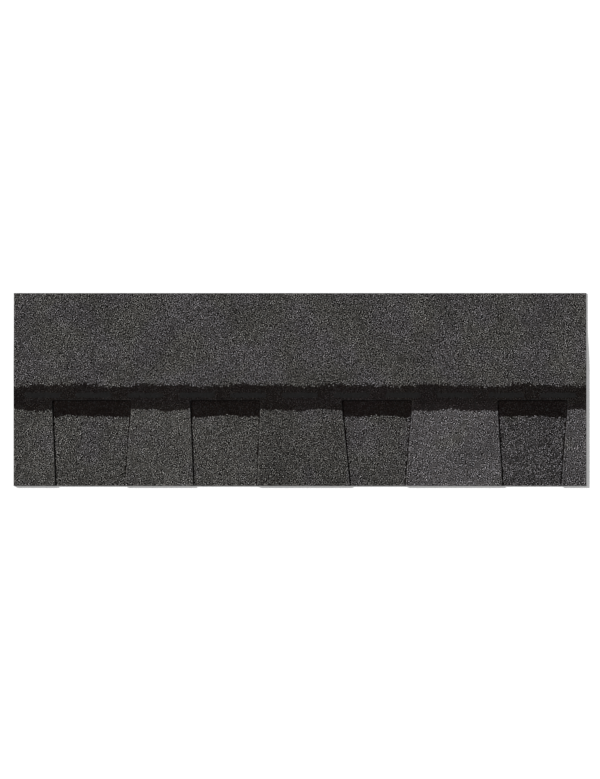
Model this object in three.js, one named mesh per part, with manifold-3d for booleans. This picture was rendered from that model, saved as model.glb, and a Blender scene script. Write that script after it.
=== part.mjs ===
// Laminated asphalt roofing shingle, lying flat with its weather face up.
//
// Two plies of mineral-surfaced asphalt sheet are bonded into one shingle. The top ply is the
// full sheet, and its lower part is cut into tapered tabs. The backer ply is a plain strip
// behind the tabs: its own face shows in the cut-outs, one ply lower, which gives the roof its
// relief. Above the backer the top ply has nothing under it, so it sags to the floor and lies
// flat again. A row of self-seal adhesive dashes runs along the face just above the cut-outs.
// A release film on the back faces the dashes of the next shingle in a pack, which lies turned
// end for end.
//
// Millimetres. While it is drawn, X runs along the shingle from its left end, Y runs up the
// roof from the butt edge, and Z is height above the floor. The group is then moved so that
// the origin is the middle of the footprint, on the floor.

import * as THREE from "three";
import Module from "manifold-3d";
import { mergeVertices } from "three/addons/utils/BufferGeometryUtils.js";

// ---- driving dimensions -------------------------------------------------------------------

const SHINGLE_LENGTH = 1000;
const SHINGLE_HEIGHT = 337; // butt edge to top edge
const TOP_PLY_THICKNESS = 2.9;
const BACKER_THICKNESS = 2.9;

// The next course leaves this much of the shingle showing. The cut-outs rise a little past it,
// so that their closed ends are covered, and the plies are bonded above them.
const EXPOSURE = 143;
const CUTOUT_COVER = 7;
const CUTOUT_CORNER_RADIUS = 4;
const BOND_WIDTH = 20; // also where the nails go
const MIN_END_TAB = 20; // no cut-out is made closer than this to the right end

// Tabs and cut-outs, measured half way up the exposure.
const END_TAB = 70; // what the end cut leaves of the first tab
const NARROW_TAB = 111;
const WIDE_TAB = 152;
const WIDEST_TAB = 159;
const NARROW_CUTOUT = 110;
const MIDDLE_CUTOUT = 113;
const WIDE_CUTOUT = 117;
const WIDEST_CUTOUT = 130;

// One turn of the cutting drum, from left to right. Each cut-out follows a tab. A lean is how
// far a side of the cut-out moves out for each unit of height, so a tab is widest at the butt.
const DRUM_PATTERN = [
  { tab: END_TAB, cutout: WIDEST_CUTOUT, leftLean: 0.04, rightLean: 0.08 },
  { tab: NARROW_TAB, cutout: WIDE_CUTOUT, leftLean: 0.04, rightLean: 0.04 },
  { tab: WIDE_TAB, cutout: NARROW_CUTOUT, leftLean: 0.1, rightLean: 0.08 },
  { tab: WIDEST_TAB, cutout: MIDDLE_CUTOUT, leftLean: 0.06, rightLean: 0.08 },
];

// Self-seal adhesive on the face, over the bond. It is run out hot, so that each dash has a
// thin upright edge, sides that curve in over it, and a level crown.
const DASH_LENGTH = 64;
const DASH_WIDTH = 11;
const DASH_EDGE_HEIGHT = 0.25;
const DASH_CROWN_RISE = 0.55; // above the edge
const DASH_SIDE_RUN = 3; // from the edge in to the crown
const DASH_GAP = 26;
const DASH_END_MARGIN = 18;
const DASH_ABOVE_CUTOUTS = 3;
const DASH_CORNER_RADIUS = 4;

// Release film on the back, just above the backer.
const FILM_WIDTH = 25;
const FILM_THICKNESS = 0.2;
const FILM_ABOVE_BACKER = 1;

// The unsupported top ply stays level over the film, then sags to the floor.
const LEVEL_ABOVE_FILM = 5;
const SAG_RUN = 90;
const SAG_STEPS = 18;

// ---- sizes that follow --------------------------------------------------------------------

const CUTOUT_RISE = EXPOSURE + CUTOUT_COVER;
const BACKER_HEIGHT = CUTOUT_RISE + BOND_WIDTH;
const FACE_Z = BACKER_THICKNESS + TOP_PLY_THICKNESS;
const FILM_Y = BACKER_HEIGHT + FILM_ABOVE_BACKER;
const SAG_START = FILM_Y + FILM_WIDTH + LEVEL_ABOVE_FILM;
const SAG_END = SAG_START + SAG_RUN;
const DASH_Y = CUTOUT_RISE + DASH_ABOVE_CUTOUTS;
const TRIM = 10; // the sheet is made this much oversize all round before it is cut

const CURVE_SEGMENTS = 4;
const BEVEL_SEGMENTS = 4;
const MOST_OF_CORNER = 0.8; // the share of a corner's radius that a curved side may take up

// ---- materials ----------------------------------------------------------------------------

const granules = new THREE.MeshStandardMaterial({ color: 0x474543, roughness: 0.95 });
const backerGranules = new THREE.MeshStandardMaterial({ color: 0x3d3b3a, roughness: 0.95 });
const bitumen = new THREE.MeshStandardMaterial({ color: 0x0b0b0c, roughness: 0.3 });
const clearFilm = new THREE.MeshStandardMaterial({ color: 0xb9bcbf, roughness: 0.25 });

// ---- solids -------------------------------------------------------------------------------

const wasm = await Module();
wasm.setup();

/** A closed three.js geometry as a solid that can be joined and cut. */
function toSolid(geometry) {
  const bare = geometry.clone();
  bare.deleteAttribute("normal");
  bare.deleteAttribute("uv");
  const merged = mergeVertices(bare);
  const vertProperties = new Float32Array(merged.getAttribute("position").array);
  const triVerts = new Uint32Array(merged.getIndex().array);
  return new wasm.Manifold(new wasm.Mesh({ numProp: 3, vertProperties, triVerts }));
}

/** A solid back as a geometry with flat facets. */
function toGeometry(solid) {
  const mesh = solid.getMesh();
  const indexed = new THREE.BufferGeometry();
  indexed.setAttribute("position", new THREE.BufferAttribute(mesh.vertProperties, 3));
  indexed.setIndex(new THREE.BufferAttribute(mesh.triVerts, 1));
  const geometry = indexed.toNonIndexed();
  geometry.computeVertexNormals();
  return geometry;
}

/** A plan outline raised from one height to another. */
function prism(outline, bottom, top) {
  const settings = { depth: top - bottom, bevelEnabled: false, curveSegments: CURVE_SEGMENTS };
  const geometry = new THREE.ExtrudeGeometry(outline, settings);
  return geometry.translate(0, 0, bottom);
}

/** A section drawn in Y and Z, drawn out along X between two stations. */
function runAlongX(section, from, to) {
  const settings = { depth: to - from, bevelEnabled: false };
  const geometry = new THREE.ExtrudeGeometry(section, settings);
  geometry.translate(0, 0, from);
  const toRowAxes = new THREE.Matrix4().makeBasis(
    new THREE.Vector3(0, 1, 0),
    new THREE.Vector3(0, 0, 1),
    new THREE.Vector3(1, 0, 0),
  );
  return geometry.applyMatrix4(toRowAxes);
}

function rectangle(left, bottom, width, height) {
  const shape = new THREE.Shape();
  shape.moveTo(left, bottom);
  shape.lineTo(left + width, bottom);
  shape.lineTo(left + width, bottom + height);
  shape.lineTo(left, bottom + height);
  return shape;
}

function roundedRectangle(left, bottom, width, height, r) {
  const right = left + width;
  const top = bottom + height;
  const shape = new THREE.Shape();
  shape.moveTo(left + r, bottom);
  shape.absarc(right - r, bottom + r, r, -Math.PI / 2, 0);
  shape.absarc(right - r, top - r, r, 0, Math.PI / 2);
  shape.absarc(left + r, top - r, r, Math.PI / 2, Math.PI);
  shape.absarc(left + r, bottom + r, r, Math.PI, 1.5 * Math.PI);
  return shape;
}

// ---- top ply ------------------------------------------------------------------------------

/** Left and right side of each cut-out half way up, with its leans, along the whole sheet. */
function cutouts() {
  const found = [];
  let end = 0;
  for (let i = 0; ; i += 1) {
    const { tab, cutout, leftLean, rightLean } = DRUM_PATTERN[i % DRUM_PATTERN.length];
    const left = end + tab;
    end = left + cutout;
    if (end + MIN_END_TAB > SHINGLE_LENGTH) {
      return found;
    }
    found.push({ left, right: end, leftLean, rightLean });
  }
}

/** Adds one cut-out to an outline that runs to the right along the butt edge. */
function addCutout(outline, cutout) {
  const leftAt = (y) => cutout.left - cutout.leftLean * (y - EXPOSURE / 2);
  const rightAt = (y) => cutout.right + cutout.rightLean * (y - EXPOSURE / 2);
  const r = CUTOUT_CORNER_RADIUS;
  const shoulder = CUTOUT_RISE - r;
  outline.lineTo(leftAt(0), 0);
  outline.lineTo(leftAt(shoulder), shoulder);
  outline.quadraticCurveTo(leftAt(CUTOUT_RISE), CUTOUT_RISE, leftAt(CUTOUT_RISE) + r, CUTOUT_RISE);
  outline.lineTo(rightAt(CUTOUT_RISE) - r, CUTOUT_RISE);
  outline.quadraticCurveTo(rightAt(CUTOUT_RISE), CUTOUT_RISE, rightAt(shoulder), shoulder);
  outline.lineTo(rightAt(0), 0);
}

/** The plan of the top ply: the full sheet with the cut-outs open at the butt edge. */
function topPlyOutline() {
  const outline = new THREE.Shape();
  outline.moveTo(0, 0);
  cutouts().forEach((cutout) => addCutout(outline, cutout));
  outline.lineTo(SHINGLE_LENGTH, 0);
  outline.lineTo(SHINGLE_LENGTH, SHINGLE_HEIGHT);
  outline.lineTo(0, SHINGLE_HEIGHT);
  return outline;
}

/** Height of the top ply's underside above the floor at a distance from the butt edge. */
function undersideAt(y) {
  const t = THREE.MathUtils.clamp((y - SAG_START) / SAG_RUN, 0, 1);
  return (BACKER_THICKNESS * (1 + Math.cos(Math.PI * t))) / 2;
}

/** Section of the sheet: level over the backer, a smooth sag, then flat on the floor. */
function topPlySection() {
  const stations = [-TRIM];
  for (let i = 0; i <= SAG_STEPS; i += 1) {
    stations.push(SAG_START + (SAG_RUN * i) / SAG_STEPS);
  }
  stations.push(Math.max(SAG_END, SHINGLE_HEIGHT) + TRIM);
  const under = stations.map((y) => new THREE.Vector2(y, undersideAt(y)));
  const over = stations.map((y) => new THREE.Vector2(y, undersideAt(y) + TOP_PLY_THICKNESS));
  return new THREE.Shape([...under, ...over.reverse()]);
}

function topPly() {
  const sheet = toSolid(runAlongX(topPlySection(), -TRIM, SHINGLE_LENGTH + TRIM));
  const cutter = toSolid(prism(topPlyOutline(), -TRIM, FACE_Z + TRIM));
  return toGeometry(sheet.intersect(cutter));
}

// ---- the other pieces ---------------------------------------------------------------------

function backerPly() {
  return prism(rectangle(0, 0, SHINGLE_LENGTH, BACKER_HEIGHT), 0, BACKER_THICKNESS);
}

function releaseFilm() {
  const strip = rectangle(0, FILM_Y, SHINGLE_LENGTH, FILM_WIDTH);
  return prism(strip, BACKER_THICKNESS - FILM_THICKNESS, BACKER_THICKNESS);
}

/** Left end of each adhesive dash: as many as fit, evenly spaced between the end margins. */
function dashStarts() {
  const room = SHINGLE_LENGTH - 2 * DASH_END_MARGIN;
  const count = Math.max(1, Math.floor((room + DASH_GAP) / (DASH_LENGTH + DASH_GAP)));
  const pitch = count > 1 ? (room - DASH_LENGTH) / (count - 1) : 0;
  return Array.from({ length: count }, (_, i) => DASH_END_MARGIN + i * pitch);
}

/** A pillow that is rounded above and below, cut off flat where it lies on the face. */
function sealantDash(start) {
  const cornerRadius = Math.min(DASH_CORNER_RADIUS, DASH_LENGTH / 2, DASH_WIDTH / 2);
  const sideRun = Math.min(DASH_SIDE_RUN, MOST_OF_CORNER * cornerRadius);
  const plan = roundedRectangle(start, DASH_Y, DASH_LENGTH, DASH_WIDTH, cornerRadius);
  const pillow = new THREE.ExtrudeGeometry(plan, {
    depth: DASH_EDGE_HEIGHT,
    bevelThickness: DASH_CROWN_RISE,
    bevelSize: sideRun,
    bevelOffset: -sideRun,
    bevelSegments: BEVEL_SEGMENTS,
    curveSegments: CURVE_SEGMENTS,
  });
  pillow.translate(0, 0, FACE_Z);
  const room = rectangle(start - TRIM, DASH_Y - TRIM, DASH_LENGTH + 2 * TRIM, DASH_WIDTH + 2 * TRIM);
  const aboveFace = toSolid(prism(room, FACE_Z, FACE_Z + DASH_EDGE_HEIGHT + DASH_CROWN_RISE + TRIM));
  return toGeometry(toSolid(pillow).intersect(aboveFace));
}

// ---- assembly -----------------------------------------------------------------------------

const shingle = new THREE.Group();

function add(name, geometry, material) {
  const mesh = new THREE.Mesh(geometry, material);
  mesh.name = name;
  shingle.add(mesh);
}

add("top_ply", topPly(), granules);
add("backer_ply", backerPly(), backerGranules);
add("release_film", releaseFilm(), clearFilm);
dashStarts().forEach((start, i) => {
  add(`sealant_dash_${String(i + 1).padStart(2, "0")}`, sealantDash(start), bitumen);
});

shingle.position.set(-SHINGLE_LENGTH / 2, -SHINGLE_HEIGHT / 2, 0);

export default shingle;
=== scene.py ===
"""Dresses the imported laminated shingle: granules, asphalt, adhesive beads, film, floor and light.

The plies stay the CAD solids, finished as cut, asphalt-coated sheet. A coat of crushed-rock
granules is modelled on every face that carries one: each granule is a small faceted heap of its
own colour, pressed into the asphalt so that the solid's black face shows between its neighbours.
Metres, in the frame's axes: X along the shingle, Y up the roof, Z out of the weather face.
"""

import math

import bpy
import numpy as np
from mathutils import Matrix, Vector
from mathutils.geometry import delaunay_2d_cdt


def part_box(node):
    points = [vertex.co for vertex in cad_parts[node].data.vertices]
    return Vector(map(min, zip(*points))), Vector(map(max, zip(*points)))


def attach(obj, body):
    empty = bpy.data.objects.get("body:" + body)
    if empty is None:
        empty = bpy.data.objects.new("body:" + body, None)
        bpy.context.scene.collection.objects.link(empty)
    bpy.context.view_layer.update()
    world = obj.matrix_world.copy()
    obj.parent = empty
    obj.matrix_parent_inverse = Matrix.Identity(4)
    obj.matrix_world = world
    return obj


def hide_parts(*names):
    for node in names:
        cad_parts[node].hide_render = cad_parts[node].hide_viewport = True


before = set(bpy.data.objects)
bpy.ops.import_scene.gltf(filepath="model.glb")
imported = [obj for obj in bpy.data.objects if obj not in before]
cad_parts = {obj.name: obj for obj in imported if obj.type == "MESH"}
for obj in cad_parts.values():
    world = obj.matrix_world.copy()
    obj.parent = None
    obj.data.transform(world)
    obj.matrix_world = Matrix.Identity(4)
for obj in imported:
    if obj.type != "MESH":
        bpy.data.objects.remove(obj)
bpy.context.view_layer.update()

# ---- sizes --------------------------------------------------------------------------------

MM = 0.001
SEED = 20  # each thing drawn at random has its own, counted on from this one
TINY = 0.01 * MM

# Granules: the spacing of their tops and the valleys between, with heights over the asphalt.
PITCH = 1.3 * MM
JITTER = 0.3  # share of the spacing
TOP_SHARE = 0.65
TOPS = (0.26 * MM, 0.62 * MM)
VALLEYS = (-0.24 * MM, 0.14 * MM)
CUT_EDGE = (-0.25 * MM, 0.0)  # along the knife's cut
EDGE_PITCH = 0.85 * PITCH
EDGE_GAP = 0.75 * MM  # between the cut and the nearest granule's top
RIM = 1.3 * MM  # from the cut, where no valleys lie
SKIRT = 0.25 * MM  # how far a cut granule's side runs down into the asphalt
TUCK = 0.3 * MM  # how far the backer's coat runs in under the tabs' edges
EDGE_HIGHLIGHT_TONES = (0.62, 0.88)  # painted highlight: paler tones for the granules along every cut edge
PAINTED_CREVICE_SHADE = (1.3 * MM, 2.1 * MM)  # painted shade: the backer's granules darken in the crevice along a tab's edge, over these distances from it

# Shadow band: dark granules painted across the top of the exposure and under the next course.
EXPOSURE = 143 * MM
BAND_TOP = 176 * MM
BAND_ON_TABS = 10.5 * MM  # below the exposure line
BAND_IN_CUTOUTS = 21.5 * MM
BAND_WAVE = 2.5 * MM  # how far its edges wander
BAND_WAVE_IN_CUTOUTS = 2.0 * MM
BAND_FADE = 0.8 * MM  # to each side of the band's lower edge
BAND_TOP_FADE = 4.0 * MM
# The length of the longest wave of each edge, and how many octaves it has.
TOP_WAVES = (160 * MM, 4)
TAB_WAVES = (110 * MM, 3)
CUTOUT_WAVES = (130 * MM, 3)
BAND_COVER = (0.935, 1.0)  # how fully it hides the blend, on the tabs and in the cut-outs

HEADLAP_SECTIONS = 5

# ---- small helpers ------------------------------------------------------------------------


def smooth_step(low, high, x):
    t = np.clip((x - low) / (high - low), 0, 1)
    return t * t * (3 - 2 * t)


OCTAVE_SHORTENING = 1.9  # each sine is this many times shorter than the one before
OCTAVE_HEIGHT = 0.62  # and this share of its height
WAVE_REACH = 1.6  # a sum of such sines seldom passes this


def wave(x, seed, longest, octaves):
    """A smooth random line between about -1 and 1: the sum of as many sines as octaves."""
    rng = np.random.default_rng(seed)
    total = np.zeros_like(x)
    for octave in range(octaves):
        length = longest / OCTAVE_SHORTENING**octave
        total += np.sin(2 * math.pi * (x / length + rng.random())) * OCTAVE_HEIGHT**octave
    return total / WAVE_REACH


# ---- shapes read from the frame -----------------------------------------------------------


POINT_DIGITS = 7  # points that agree to this many digits of a metre are one
ROW_DIGITS = 6
UPWARD = 0.5  # least Z of an upward face's normal


def upward_faces(node):
    """A node's points with doubles merged, and the corners of its upward faces."""
    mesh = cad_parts[node].data
    places = np.array([v.co[:] for v in mesh.vertices])
    merged, same = np.unique(np.round(places, POINT_DIGITS), axis=0, return_inverse=True)
    same = same.ravel()
    faces = [[same[i] for i in p.vertices] for p in mesh.polygons if p.normal.z > UPWARD]
    return merged, faces


def face_outline(node):
    """The edge of a node's upward faces, anticlockwise seen from above, as rows of (x, y)."""
    places, faces = upward_faces(node)
    sides = {(f[i - 1], f[i]) for f in faces for i in range(len(f))}
    following = {a: b for a, b in sides if (b, a) not in sides}
    start = min(following, key=lambda i: tuple(places[i][[1, 0]]))
    loop = [start]
    while following[loop[-1]] != start:
        loop.append(following[loop[-1]])
    return places[loop][:, :2]


def face_heights(node):
    """Rising y, with the height of the node's upward faces there."""
    places, faces = upward_faces(node)
    used = places[sorted({i for f in faces for i in f})]
    y, first = np.unique(np.round(used[:, 1], ROW_DIGITS), return_index=True)
    return y, used[first, 2]


ply_outline = face_outline("top_ply")
butt_y = ply_outline[:, 1].min()
top_y = ply_outline[:, 1].max()
left_x, right_x = ply_outline[:, 0].min(), ply_outline[:, 0].max()
exposure_y = butt_y + EXPOSURE


def cutout_outlines():
    """Each cut-out's outline, from where its left side leaves the butt edge and round."""
    found, current = [], []
    for a, b in zip(ply_outline, np.roll(ply_outline, -1, axis=0)):
        leaves = a[1] < butt_y + TINY and b[1] > butt_y + TINY and a[0] < right_x - TINY
        if leaves:
            current = [a]
        if current:
            current.append(b)
            if b[1] < butt_y + TINY:
                found.append(np.array(current))
                current = []
    return found


cutouts = cutout_outlines()
cutout_top_y = max(c[:, 1].max() for c in cutouts)


def centre_of(x_values):
    return (min(x_values) + max(x_values)) / 2


# Where the cut-outs' sides are about half way up, from the left.
cutout_sides = sorted(
    x for c in cutouts for x in (c[[0, 1], 0].mean(), c[[-1, -2], 0].mean())
)


def stripe_of(x):
    """Which tab (even) or cut-out (odd) a place is in, counted from the left."""
    return np.searchsorted(cutout_sides, x)


# ---- granule coat -------------------------------------------------------------------------

# Crushed rock with fired colours: brownish black, charcoal and grey granules, and a few pale.
BLEND = (
    (0.0, (0.00488, 0.00456, 0.00406)),
    (0.5, (0.00943, 0.0089, 0.00806)),
    (0.62, (0.0349, 0.0337, 0.0319)),
    (0.81, (0.1263, 0.1242, 0.1205)),
    (0.93, (0.313, 0.31, 0.305)),
    (1.0, (0.693, 0.691, 0.685)),
)
LOW_SHADE_SHARE = 0.5  # a granule that shows less than this share of the usual is dealt a darker tone: painted shade on the low granules in the hollows
MIXING_ROUNDS = 13
MIXING_GAIN = 0.35  # how far a patch's excess of brightness moves its granules down the ranks
SPLITS = 4
INSIDE_TRIANGLE = np.array([
    (i + 1 / 3, j + 1 / 3, SPLITS - i - j - 2 / 3)
    for i in range(SPLITS)
    for j in range(SPLITS - i)
]) / SPLITS  # ten places, as shares of a triangle's corners


def brightness(tone):
    """How bright a granule of each tone is, before its tint."""
    places, colours = zip(*BLEND)
    return np.interp(tone, places, np.mean(colours, axis=1))


def sides_of(loop):
    return zip(loop, np.roll(loop, -1, axis=0))


def gap_to(points, loop):
    """How far each point is from a closed loop."""
    least = np.full(len(points), np.inf)
    for a, b in sides_of(loop):
        side = b - a
        along = np.clip((points - a) @ side / (side @ side), 0, 1)
        off = points - a - along[:, None] * side
        least = np.minimum(least, np.hypot(*off.T))
    return least


def inside(points, loop):
    """Which points a closed loop holds: those with an odd number of its sides to their right."""
    within = np.zeros(len(points), bool)
    for a, b in sides_of(loop):
        if a[1] != b[1]:
            between = (points[:, 1] >= min(a[1], b[1])) & (points[:, 1] < max(a[1], b[1]))
            crossing = a[0] + (points[:, 1] - a[1]) * (b[0] - a[0]) / (b[1] - a[1])
            within ^= between & (points[:, 0] < crossing)
    return within


def split_up(loop, step):
    """A closed loop with points about one step apart."""
    rows = []
    for a, b in sides_of(loop):
        count = max(1, round(float(np.hypot(*(b - a))) / step))
        rows.append(a + (b - a) * np.arange(count)[:, None] / count)
    return np.concatenate(rows)


def jittered_rows(low, high, rng):
    """Points over a rectangle and a little past it, in uneven staggered rows."""
    row = PITCH * math.sqrt(3) / 2
    columns = math.ceil((high[0] - low[0]) / PITCH) + 2
    rows = math.ceil((high[1] - low[1]) / row) + 2
    i, j = np.meshgrid(np.arange(columns), np.arange(rows))
    x = low[0] + PITCH * (i + 0.5 * (j % 2) - 0.5).ravel()
    y = low[1] + row * (j - 0.5).ravel()
    points = np.stack([x, y], axis=1)
    return points + rng.uniform(-1, 1, points.shape) * JITTER * PITCH


MERGING = 1e-9  # closer points than this would be made one
KEEP_INSIDE = 1  # the output type that keeps the triangles inside the ring


def granule_sheet(loop, rng):
    """Granules inside a loop: points, heights, triangles, and how many points lie on the edge."""
    edge = split_up(loop, EDGE_PITCH)
    field = jittered_rows(loop.min(0), loop.max(0), rng)
    gap = gap_to(field, loop)
    kept = inside(field, loop) & (gap > EDGE_GAP)
    field = field[kept]
    is_top = (rng.random(len(field)) < TOP_SHARE) | (gap[kept] < RIM)
    heights = np.concatenate([
        rng.uniform(*CUT_EDGE, len(edge)),
        np.where(is_top, rng.uniform(*TOPS, len(field)), rng.uniform(*VALLEYS, len(field))),
    ])
    points = np.concatenate([edge, field])
    ring = [(i, (i + 1) % len(edge)) for i in range(len(edge))]
    vectors = [Vector(p) for p in points.tolist()]
    triangles = np.array(delaunay_2d_cdt(vectors, ring, [], KEEP_INSIDE, MERGING)[2])
    return points, heights, triangles, len(edge)


def plan_areas(points, triangles):
    a, b, c = (points[triangles[:, i]] for i in range(3))
    return ((b - a)[:, 0] * (c - a)[:, 1] - (b - a)[:, 1] * (c - a)[:, 0]) / 2


def well_mixed(tone, lean, points, heights, triangles, owner):
    """The tones dealt out again, granule by granule, until each small patch is about as bright."""
    start = triangles[:, [0, 1, 2, 1, 2, 0]].ravel()
    end = triangles[:, [1, 2, 0, 0, 1, 2]].ravel()

    def with_neighbours(values):
        return values + np.bincount(start, values[end], len(values))

    area = plan_areas(points, triangles)
    clear = (heights[triangles] @ INSIDE_TRIANGLE.T > 0).mean(1)  # share above the asphalt
    size = np.bincount(owner, area, len(tone))
    seen = np.bincount(owner, area * clear, len(tone))
    patch = np.maximum(with_neighbours(size), TINY**2)
    placed = np.flatnonzero(size)
    hand = np.sort(tone[placed])
    leans, which = np.unique(lean, return_inverse=True)
    usual = np.array([brightness(hand ** (1 / one)).mean() for one in leans])[which]
    # Painted shade: granules that show little, small or low between the others, are moved down the
    # ranks to darker tones.
    rank = tone - np.clip(1 - seen / (LOW_SHADE_SHARE * seen[placed].mean()), 0, 1)
    dealt = tone.copy()
    for _ in range(MIXING_ROUNDS):
        dealt[placed[np.argsort(rank[placed])]] = hand
        glow = with_neighbours(seen * brightness(dealt ** (1 / lean)) / usual) / patch
        rank -= MIXING_GAIN * (glow / glow[placed].mean() - 1)
    return dealt ** (1 / lean)


def build_mesh(name, places, faces, uv, values):
    """A flat-shaded mesh with a value of each kind for each face, and a map for its corners."""
    mesh = bpy.data.meshes.new(name)
    mesh.from_pydata(places.tolist(), [], faces.tolist())
    for key, per_face in values.items():
        layer = mesh.attributes.new(key, "FLOAT", "FACE")
        layer.data.foreach_set("value", per_face.astype(np.float32))
    layer = mesh.uv_layers.new(name="OFBake")
    layer.data.foreach_set("uv", uv[faces.ravel()].astype(np.float32).ravel())
    piece = bpy.data.objects.new(name, mesh)
    bpy.context.collection.objects.link(piece)
    return piece


MAP_MARGIN = 0.004


def plan_map(points):
    """The plan of a piece, stretched to fill its map but for a margin."""
    low, high = points.min(0), points.max(0)
    return MAP_MARGIN + (1 - 2 * MAP_MARGIN) * (points - low) / (high - low)


def cut_sides(points, edge):
    """The cut granules' sides as triangles, and where their lower points fold out to in plan."""
    around = np.arange(edge)
    onward = (around + 1) % edge
    lower = len(points) + around
    lower_onward = len(points) + onward
    run = points[onward] - points[around]
    out = np.stack([run[:, 1], -run[:, 0]], axis=1)
    out /= np.hypot(*out.T)[:, None]
    sides = np.concatenate([
        np.stack([around, lower, lower_onward], axis=1),
        np.stack([around, lower_onward, onward], axis=1),
    ])
    return sides, points[:edge] + out * SKIRT


def coat(loop, heights_at, label_of, band_at, band_cover, seed):
    """Lays granules inside a loop and returns one piece for each label that label_of gives."""
    rng = np.random.default_rng(seed)
    points, heights, triangles, edge = granule_sheet(loop, rng)
    owner = triangles[np.arange(len(triangles)), heights[triangles].argmax(1)]
    tone = rng.random(len(points))
    tone = well_mixed(tone, lean_and_cast(points)[0], points, heights, triangles, owner)

    sides, folded_out = cut_sides(points, edge)
    faces = np.concatenate([triangles, sides])
    owner = np.concatenate([owner, sides[:, 0]])
    flat = np.concatenate([points, folded_out])
    places = np.concatenate([points, points[:edge]])
    level = np.concatenate([heights, np.full(edge, -SKIRT)]) + heights_at(places[:, 1])
    solid = np.column_stack([places, level])

    warmth = rng.random(len(points))
    # Painted highlight: the granules on the cut edges take paler tones.
    edge_highlight = rng.uniform(*EDGE_HIGHLIGHT_TONES, len(points))
    at = flat[owner]
    on_cut = ((faces < edge) | (faces >= len(points))).any(1)
    tones = np.where(on_cut, edge_highlight[owner], tone[owner])
    values = {
        "tone": tones,
        "warmth": warmth[owner],
        # On the backer, this share also carries the painted crevice shade along the tabs' edges.
        "band": band_cover * per_granule(at, band_at(at), rng),
        "cast": lean_and_cast(at)[1],
    }
    label = label_of(at)
    pieces = []
    for name in dict.fromkeys(label.tolist()):
        mine = np.flatnonzero(label == name)
        kept, local = np.unique(faces[mine], return_inverse=True)
        pieces.append(build_mesh(
            name,
            solid[kept],
            local.reshape(-1, 3),
            plan_map(flat[kept]),
            {key: per_face[mine] for key, per_face in values.items()},
        ))
    return pieces


def per_granule(at, threshold, rng):
    """1 or 0 for each face, at a chance between 0 and 1, the same for all faces of a granule."""
    key = np.round(at / TINY).astype(np.int64)
    _, granule = np.unique(key, axis=0, return_inverse=True)
    granule = granule.ravel()
    return (rng.random(granule.max() + 1)[granule] < threshold).astype(float)


def band_share(at, depth):
    """How likely a granule there is to be one of the shadow band's dark ones."""
    lower = exposure_y - depth
    upper = butt_y + BAND_TOP + BAND_WAVE * wave(at[:, 0], SEED + 1, *TOP_WAVES)
    above = smooth_step(lower - BAND_FADE, lower + BAND_FADE, at[:, 1])
    return above * (1 - smooth_step(upper - BAND_TOP_FADE, upper + BAND_TOP_FADE, at[:, 1]))


def ply_band(at):
    depth = BAND_ON_TABS + BAND_WAVE * wave(at[:, 0], SEED + 2, *TAB_WAVES)
    return band_share(at, depth)


def backer_band_and_crevice_shade(at):
    depth = BAND_IN_CUTOUTS + BAND_WAVE_IN_CUTOUTS * wave(at[:, 0], SEED + 3, *CUTOUT_WAVES)
    # Painted shade: granules in the crevice by a tab's edge take the band's dark colour.
    crevice_shade = 1 - smooth_step(*PAINTED_CREVICE_SHADE, gap_to(at, ply_outline))
    return np.maximum(band_share(at, depth), np.where(at[:, 1] > butt_y + PAINTED_CREVICE_SHADE[0], crevice_shade, 0))


# What each tab and cut-out, from the left, takes of the blend: how far it leans to the pale
# granules (over 1) or the dark, and to a plum cast (over 0) or an olive one.
STRIPES = np.array([
    (1.03, -0.1),
    (0.95, -0.08),
    (1.14, -0.1),
    (0.98, -0.1),
    (0.8, -0.1),
    (0.96, -0.04),
    (1.34, 0.14),
    (0.8, 0.14),
    (1.17, 0.14),
])
HEADLAP = (0.925, 0.0)


def lean_and_cast(at):
    stripe = np.minimum(stripe_of(at[:, 0]), len(STRIPES) - 1)
    return np.where(at[:, 1:] > exposure_y, HEADLAP, STRIPES[stripe]).T


def ply_label(at):
    tab = stripe_of(at[:, 0]) // 2 + 1
    section = np.floor((at[:, 0] - left_x) / (right_x - left_x) * HEADLAP_SECTIONS)
    section = np.clip(section, 0, HEADLAP_SECTIONS - 1).astype(int) + 1
    on_headlap = at[:, 1] > cutout_top_y
    tab_names = np.char.add("granules_tab_", tab.astype(str))
    headlap_names = np.char.add("granules_headlap_", section.astype(str))
    return np.where(on_headlap, headlap_names, tab_names)


ply_y, ply_z = face_heights("top_ply")
backer_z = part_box("backer_ply")[1][2]

ply_coat = coat(
    ply_outline,
    lambda y: np.interp(y, ply_y, ply_z),
    ply_label,
    ply_band,
    BAND_COVER[0],
    SEED,
)


def grown(loop):
    """A cut-out's outline with its closed sides moved out under the tabs' edges."""
    middle = centre_of(loop[:, 0])
    moved = loop.copy()
    moved[:, 0] += np.where(loop[:, 0] > middle, TUCK, -TUCK)
    moved[loop[:, 1] > cutout_top_y - TINY, 1] += TUCK
    return moved


backer_coat = []
for number, outline in enumerate(cutouts, 1):
    clockwise = grown(outline)[::-1]
    label = f"granules_cutout_{number}"
    backer_coat += coat(
        clockwise,
        lambda y: np.full(len(y), backer_z),
        lambda at: np.full(len(at), label),
        backer_band_and_crevice_shade,
        BAND_COVER[1],
        SEED + 10 * number,
    )

# ---- sealant beads ------------------------------------------------------------------------

BEAD_STATIONS = 96
BEAD_ROWS = 24
BEAD_TIP = 0.04  # radians of the turn from end to end that its flat tips leave out
BEAD_ROOT = 0.15 * MM  # how far a bead reaches down between the granules
BEAD_WANDER = 0.12  # share of the half width that its edge wanders in
BEAD_EDGE_WAVES = (30 * MM, 4)
BEAD_DIP = 0.2  # share of the height that its crown dips by along its length
BEAD_CROWN_WAVES = (11 * MM, 2)
BEAD_DENTS = 0.42  # share of the height of the dents that the granules leave in its skin
# Powers that shape a bead: its round ends in plan, how it thins out there, and its section.
END_POWERS = (10, 0.35)
END_THINNING = 0.6
ACROSS_POWER = 0.7
DOME_POWER = 0.6
DENT_SPAN = (1.8 * MM, 4.5 * MM)
DENT_WAVES = 7


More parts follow.
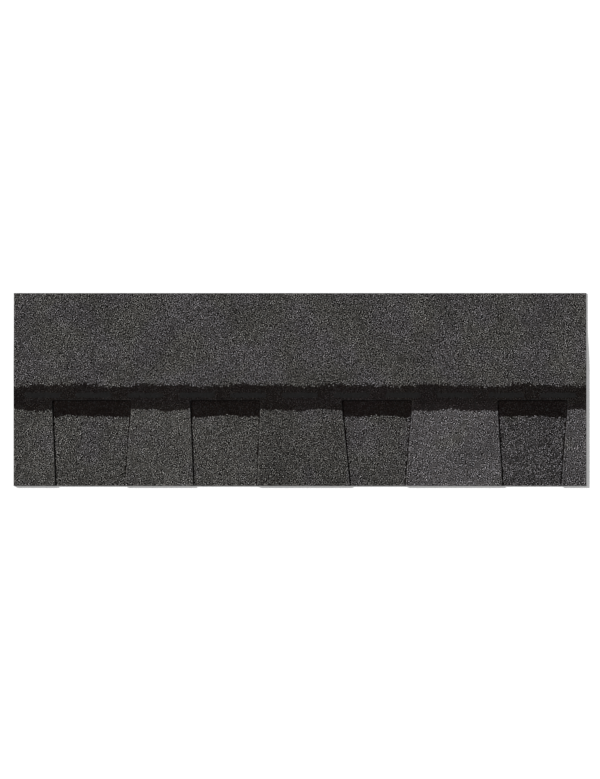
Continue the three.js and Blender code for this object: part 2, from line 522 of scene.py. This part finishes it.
def dents(x, y, seed):
    """An uneven surface between 0 and 1, as a sum of waves that run in all directions."""
    rng = np.random.default_rng(seed)
    total = np.zeros(np.broadcast(x, y).shape)
    for _ in range(DENT_WAVES):
        heading, phase = rng.uniform(0, 2 * math.pi, 2)
        along = x * math.cos(heading) + y * math.sin(heading)
        total += np.sin(2 * math.pi * along / rng.uniform(*DENT_SPAN) + phase)
    return np.clip(0.5 + total / DENT_WAVES, 0, 1)


def bead_rings(node, seed):
    """Sections along a strip of adhesive run out hot onto the granules: low, with round ends."""
    low, high = (np.array(corner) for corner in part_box(node))
    half_length, half_width = (high[:2] - low[:2]) / 2
    along = -np.cos(np.linspace(BEAD_TIP, math.pi - BEAD_TIP, BEAD_STATIONS))
    end = (1 - np.abs(along) ** END_POWERS[0]) ** END_POWERS[1]
    places = along * half_length
    near, far = (
        half_width * end * (1 - BEAD_WANDER * (1 + wave(places, seed + i, *BEAD_EDGE_WAVES)) / 2)
        for i in range(2)
    )
    dip = BEAD_DIP * (1 + wave(places, seed + 2, *BEAD_CROWN_WAVES)) / 2
    crown = (high[2] - low[2]) * (1 - np.maximum(dip, 0))
    turn = np.linspace(math.pi, 0, BEAD_ROWS)
    across = np.sign(np.cos(turn)) * np.abs(np.cos(turn)) ** ACROSS_POWER
    dome = np.sin(turn) ** DOME_POWER
    rings = []
    for x, w, f, c, e in zip(places, near, far, crown, end):
        y = np.where(across < 0, w, f) * across
        c = c * (1 - BEAD_DENTS * dents(x, y, seed + 3))
        z = -BEAD_ROOT + dome * e**END_THINNING * (BEAD_ROOT + c)
        rings.append(np.column_stack([np.full(BEAD_ROWS, x), y, z]))
    middle = [*((low[:2] + high[:2]) / 2), low[2]]
    return [ring + middle for ring in rings]


def loft(name, rings):
    """A closed, smooth-shaded skin over a row of rings of equal length, with flat ends."""
    size = len(rings[0])
    faces = [list(range(size)), [len(rings) * size - 1 - i for i in range(size)]]
    for start in range(0, (len(rings) - 1) * size, size):
        for i in range(size):
            j = (i + 1) % size
            faces.append([start + j, start + i, start + size + i, start + size + j])
    mesh = bpy.data.meshes.new(name)
    mesh.from_pydata(np.concatenate(rings).tolist(), [], faces)
    mesh.shade_smooth()
    piece = bpy.data.objects.new(name, mesh)
    bpy.context.collection.objects.link(piece)
    return piece


# ---- materials ----------------------------------------------------------------------------


def add_node(tree, kind, inputs=None, **settings):
    """Adds a shader node; an input is a value or another node's output."""
    made = tree.nodes.new(kind)
    for key, value in settings.items():
        setattr(made, key, value)
    for socket, value in (inputs or {}).items():
        if isinstance(value, bpy.types.NodeSocket):
            tree.links.new(value, made.inputs[socket])
        else:
            made.inputs[socket].default_value = value
    return made


def new_material(name):
    """A material with an empty tree but for its output."""
    material = bpy.data.materials.new(name)
    material.use_nodes = True
    tree = material.node_tree
    tree.nodes.clear()
    output = tree.nodes.new("ShaderNodeOutputMaterial")
    return material, tree, output


def ramp(tree, factor, stops):
    """A colour ramp of (place, (r, g, b)) stops."""
    made = add_node(tree, "ShaderNodeValToRGB", {"Fac": factor})
    elements = made.color_ramp.elements
    while len(elements) < len(stops):
        elements.new(0.5)  # to be moved
    for element, (place, colour) in zip(elements, stops):
        element.position = place
        element.color = (*colour, 1)
    return made.outputs["Color"]


def multiply(tree, a, b):
    made = add_node(tree, "ShaderNodeMix", data_type="RGBA", blend_type="MULTIPLY")
    made.inputs["Factor"].default_value = 1
    tree.links.new(a, made.inputs["A"])
    tree.links.new(b, made.inputs["B"])
    return made.outputs["Result"]


def mix_colours(tree, factor, a, b):
    made = add_node(tree, "ShaderNodeMix", data_type="RGBA")
    tree.links.new(factor, made.inputs["Factor"])
    tree.links.new(a, made.inputs["A"])
    tree.links.new(b, made.inputs["B"])
    return made.outputs["Result"]


def attribute(tree, name):
    return add_node(tree, "ShaderNodeAttribute", attribute_name=name).outputs["Fac"]


def grey(level):
    return (level, level, level)


def noise(tree, place, scale, detail):
    """A soft random value between 0 and 1 at each place."""
    settings = {"Vector": place, "Scale": scale, "Detail": detail}
    return add_node(tree, "ShaderNodeTexNoise", settings).outputs["Fac"]


def map_range(tree, value, source, target):
    """A value taken from one range to another, and held at its ends."""
    settings = {
        "Value": value, "From Min": source[0], "From Max": source[1],
        "To Min": target[0], "To Max": target[1],
    }
    return add_node(tree, "ShaderNodeMapRange", settings).outputs["Result"]


def relief(tree, height, strength, distance):
    """The face's normal, tipped as by bumps of this height, which rise so many metres at most."""
    settings = {"Height": height, "Strength": strength, "Distance": distance}
    return add_node(tree, "ShaderNodeBump", settings).outputs["Normal"]


def surface(tree, output, inputs):
    """Ends a material in one principled shader."""
    shader = add_node(tree, "ShaderNodeBsdfPrincipled", inputs)
    tree.links.new(shader.outputs["BSDF"], output.inputs["Surface"])


SHADOW = (
    (0.0, (0.0022, 0.0014, 0.0012)),
    (0.78, (0.0062, 0.0043, 0.0038)),
    (1.0, (0.038, 0.031, 0.0285)),
)
GRANULE_SPECULAR = 0.03  # little: rough rock scatters what it reflects into its own pits
GRANULE_ROUGHNESS = (0.55, 0.95)
GRANULE_RELIEF = (0.6, 0.12 * MM)
TINTS = ((0.25, (1.015, 1.0, 0.985)), (0.75, (0.985, 1.0, 1.015)))  # warm and cool granules

# Each noise is given by its scale (about its waves to the metre) and its detail.
NOISE_SPAN = (0.3, 0.7)  # the values that a noise mostly keeps between
DRIFT = (11.0, 2.5)
DRIFT_SHADES = tuple(zip(NOISE_SPAN, (grey(0.84), grey(1.16))))
CAST = (13.0, 1.5)
CAST_COLOURS = ((0.42, (1.02, 1.0, 0.965)), (0.58, (1.04, 1.0, 1.06)))  # olive to plum
SPECK = (1900.0, 2.0)
SPECK_SHADES = tuple(zip(NOISE_SPAN, (grey(0.7), grey(1.3))))


def granule_material():
    material, tree, output = new_material("mineral_granules")
    place = add_node(tree, "ShaderNodeTexCoord").outputs["Object"]
    tone = attribute(tree, "tone")
    blend = ramp(tree, tone, BLEND)
    # The band's dark granules, and on the backer also the painted crevice shade by the tabs' edges.
    colour = mix_colours(tree, attribute(tree, "band"), blend, ramp(tree, tone, SHADOW))
    colour = multiply(tree, colour, ramp(tree, attribute(tree, "warmth"), TINTS))

    # The blend drifts slowly in tone and in cast, as the drops of granules overlap.
    colour = multiply(tree, colour, ramp(tree, noise(tree, place, *DRIFT), DRIFT_SHADES))
    cast = add_node(
        tree, "ShaderNodeMath", {0: noise(tree, place, *CAST), 1: attribute(tree, "cast")}
    ).outputs["Value"]
    colour = multiply(tree, colour, ramp(tree, cast, CAST_COLOURS))

    speck = noise(tree, place, *SPECK)
    surface(tree, output, {
        "Base Color": multiply(tree, colour, ramp(tree, speck, SPECK_SHADES)),
        "Roughness": map_range(tree, speck, NOISE_SPAN, GRANULE_ROUGHNESS),
        "Normal": relief(tree, speck, *GRANULE_RELIEF),
        "Specular IOR Level": GRANULE_SPECULAR,
    })
    return material


COATING = ((0.35, grey(0.006)), (0.75, grey(0.016)))
CUT_ASPHALT = ((0.4, grey(0.011)), (0.6, grey(0.026)), (0.72, grey(0.1)))  # ground limestone in it
SANDED_BACK = ((0.42, grey(0.02)), (0.6, (0.075, 0.073, 0.07)), (0.72, (0.21, 0.205, 0.195)))
SAND = (1500.0, 3.0)
SMEAR = (60.0, 6.0)
SMEAR_SHADES = tuple(zip(NOISE_SPAN, (grey(0.6), grey(1.3))))
STREAK = (0.12, 1.0, 1.0)  # the back's dusting is drawn out along the sheet, as it ran in the mill
FACING = (0.4, 0.6)  # a normal's Z between which an edge turns into a face
ASPHALT_SPECULAR = 0.08  # little: its skin is dull and dusty
ASPHALT_ROUGHNESS = (0.5, 0.9)  # coated, and sanded below
ASPHALT_RELIEF = (0.7, 0.3 * MM)


def asphalt_material():
    """Coating asphalt: black above, sanded below, and showing its filler where it was cut."""
    material, tree, output = new_material("coating_asphalt")
    place = add_node(tree, "ShaderNodeTexCoord").outputs["Object"]
    normal = add_node(tree, "ShaderNodeNewGeometry").outputs["Normal"]
    up = add_node(tree, "ShaderNodeSeparateXYZ", {"Vector": normal}).outputs["Z"]
    below = map_range(tree, up, (-FACING[0], -FACING[1]), (0.0, 1.0))
    above = map_range(tree, up, FACING, (0.0, 1.0))
    sand = noise(tree, place, *SAND)
    streaked = add_node(
        tree, "ShaderNodeVectorMath", {0: place, 1: STREAK}, operation="MULTIPLY"
    ).outputs["Vector"]
    smear = noise(tree, streaked, *SMEAR)
    dusted = multiply(tree, ramp(tree, sand, SANDED_BACK), ramp(tree, smear, SMEAR_SHADES))
    colour = mix_colours(tree, above, ramp(tree, sand, CUT_ASPHALT), ramp(tree, sand, COATING))
    surface(tree, output, {
        "Base Color": mix_colours(tree, below, colour, dusted),
        "Roughness": map_range(tree, below, (0.0, 1.0), ASPHALT_ROUGHNESS),
        "Normal": relief(tree, sand, *ASPHALT_RELIEF),
        "Specular IOR Level": ASPHALT_SPECULAR,
    })
    return material


RIPPLE = (260.0, 4.0)


def plain_material(name, base, roughness, specular, unevenness, ripple_height):
    """A smooth material, uneven in tone and in surface, with ripples some millimetres long."""
    material, tree, output = new_material(name)
    place = add_node(tree, "ShaderNodeTexCoord").outputs["Object"]
    ripple = noise(tree, place, *RIPPLE)
    shades = (tuple(share * c for c in base) for share in (1 - unevenness, 1 + unevenness))
    surface(tree, output, {
        "Base Color": ramp(tree, ripple, tuple(zip(NOISE_SPAN, shades))),
        "Normal": relief(tree, ripple, 1.0, ripple_height),
        "Roughness": roughness,
        "Specular IOR Level": specular,
    })
    return material


def wear(piece, material):
    piece.data.materials.clear()
    piece.data.materials.append(material)


granules = granule_material()
for piece in ply_coat:
    wear(piece, granules)
    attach(piece, "root")
for piece in backer_coat:
    wear(piece, granules)
    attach(piece, "root")

sealant = plain_material(
    "sealant_bitumen",
    base=(0.0036, 0.0033, 0.0032),
    roughness=0.28,
    specular=0.14,
    unevenness=0.5,
    ripple_height=0.7 * MM,
)
for number, node in enumerate(sorted(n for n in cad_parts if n.startswith("sealant_dash"))):
    bead = loft(node.replace("dash", "bead"), bead_rings(node, SEED + 100 + 5 * number))
    wear(bead, sealant)
    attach(bead, "root")
    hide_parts(node)

asphalt = asphalt_material()
for node in ("top_ply", "backer_ply"):
    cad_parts[node].material_slots[0].material = asphalt
film = plain_material(
    "release_film",
    base=(0.11, 0.112, 0.116),
    roughness=0.16,
    specular=0.5,
    unevenness=0.12,
    ripple_height=0.12 * MM,
)
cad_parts["release_film"].material_slots[0].material = film

# ---- stage, light and camera --------------------------------------------------------------

WHITE = (1, 1, 1, 1)
FLOOR_SIZE = 12
FLOOR_COLOUR = (*grey(0.9), 1)
FLOOR_GLOW = 0.22  # brings the floor that the camera sees up to the white of the backdrop


def for_the_eye(tree, unseen, seen):
    """One shader for what the camera and glossy surfaces see, and another for what lights."""
    path = add_node(tree, "ShaderNodeLightPath")
    looking = add_node(
        tree, "ShaderNodeMath",
        {0: path.outputs["Is Camera Ray"], 1: path.outputs["Is Glossy Ray"]},
        operation="MAXIMUM",
    ).outputs["Value"]
    mixed = add_node(tree, "ShaderNodeMixShader", {"Fac": looking})
    tree.links.new(unseen.outputs[0], mixed.inputs[1])
    tree.links.new(seen.outputs[0], mixed.inputs[2])
    return mixed.outputs[0]


def floor():
    bpy.ops.mesh.primitive_plane_add(size=FLOOR_SIZE)
    plane = bpy.context.object
    plane.name = "floor"
    material, tree, output = new_material("studio_floor")
    diffuse = add_node(tree, "ShaderNodeBsdfDiffuse", {"Color": FLOOR_COLOUR})
    glow = add_node(tree, "ShaderNodeEmission", {"Strength": FLOOR_GLOW})
    lit = add_node(tree, "ShaderNodeAddShader")
    tree.links.new(diffuse.outputs[0], lit.inputs[0])
    tree.links.new(glow.outputs[0], lit.inputs[1])
    tree.links.new(for_the_eye(tree, diffuse, lit), output.inputs["Surface"])
    plane.data.materials.append(material)


def world_light(strength):
    world = bpy.data.worlds.new("studio")
    bpy.context.scene.world = world
    world.use_nodes = True
    tree = world.node_tree
    tree.nodes.clear()
    output = tree.nodes.new("ShaderNodeOutputWorld")
    fill = add_node(tree, "ShaderNodeBackground", {"Color": WHITE, "Strength": strength})
    backdrop = add_node(tree, "ShaderNodeBackground", {"Color": WHITE, "Strength": 1.0})
    tree.links.new(for_the_eye(tree, fill, backdrop), output.inputs["Surface"])


KEY_ELEVATION = math.radians(38)
KEY_HEADING = math.radians(150)  # from +X anticlockwise: left and a little up the roof
KEY_SPREAD = math.radians(7)
KEY_STRENGTH = 3.78
FILL_STRENGTH = 0.24


def key_light():
    lamp = bpy.data.lights.new("key", "SUN")
    lamp.energy = KEY_STRENGTH
    lamp.angle = KEY_SPREAD
    key = bpy.data.objects.new("key", lamp)
    bpy.context.collection.objects.link(key)
    level = math.cos(KEY_ELEVATION)
    towards = Vector((
        level * math.cos(KEY_HEADING), level * math.sin(KEY_HEADING), math.sin(KEY_ELEVATION)
    ))
    key.rotation_euler = towards.to_track_quat("Z", "Y").to_euler()


# The photo's frame is 600 by 779 pixels and looks straight down on the face, up the roof.
PHOTO_WIDTH = 600
SHINGLE_PIXELS = 572
LENS = 135.0
SENSOR = 36.0
REACH = 4  # how far the camera sees, in its distances from the floor


def camera():
    data = bpy.data.cameras.new("camera")
    data.sensor_fit = "HORIZONTAL"
    data.sensor_width = SENSOR
    data.lens = LENS
    view = bpy.data.objects.new("camera", data)
    bpy.context.collection.objects.link(view)
    width = (right_x - left_x) * PHOTO_WIDTH / SHINGLE_PIXELS
    distance = width * LENS / SENSOR
    view.location = (centre_of((left_x, right_x)), centre_of((butt_y, top_y)), distance)
    data.clip_end = REACH * distance
    bpy.context.scene.camera = view


floor()
world_light(FILL_STRENGTH)
key_light()
camera()
bpy.context.scene.view_settings.view_transform = "Standard"
